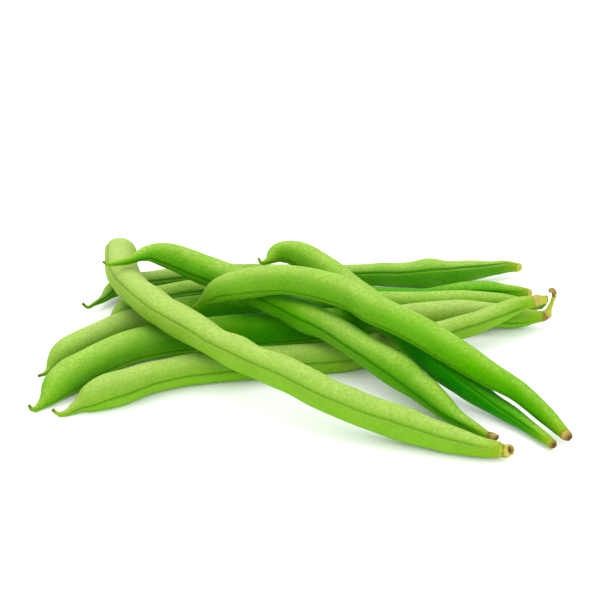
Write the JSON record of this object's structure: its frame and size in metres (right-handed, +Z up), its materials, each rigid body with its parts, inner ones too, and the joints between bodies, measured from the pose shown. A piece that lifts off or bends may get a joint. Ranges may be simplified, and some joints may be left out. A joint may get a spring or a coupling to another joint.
{
  "type": "green bean bundle",
  "caption": "Loose heap of fresh whole green bean pods, some side by side and others crossed over them, each with a thin hooked beak and a broken stem end.",
  "frame": {"origin": "on the surface that the heap lies on, under the middle of its outline", "axes": "+X along the length of the pods that lie on the surface, from their beaks to their stem ends; +Y towards the back of the heap; +Z up"},
  "size_m": [0.1469, 0.1199, 0.0271],
  "materials": {
    "pod_skin": "fresh velvety green skin with a soft sheen",
    "stem_end": "dry tan stalk, matte"
  },
  "bodies": {
    "root": {"pod_floor_front": "pod_skin", "pod_floor_second": "pod_skin", "pod_floor_third": "pod_skin", "pod_floor_fourth": "pod_skin", "pod_floor_rear": "pod_skin", "pod_long_front": "pod_skin", "pod_middle": "pod_skin", "pod_top": "pod_skin", "pod_back": "pod_skin", "stem_floor_front": "stem_end", "stem_floor_second": "stem_end", "stem_floor_third": "stem_end", "stem_floor_fourth": "stem_end", "stem_floor_rear": "stem_end", "stem_long_front": "stem_end", "stem_middle": "stem_end", "stem_top": "stem_end", "stem_back": "stem_end"}
  },
  "joints": []
}
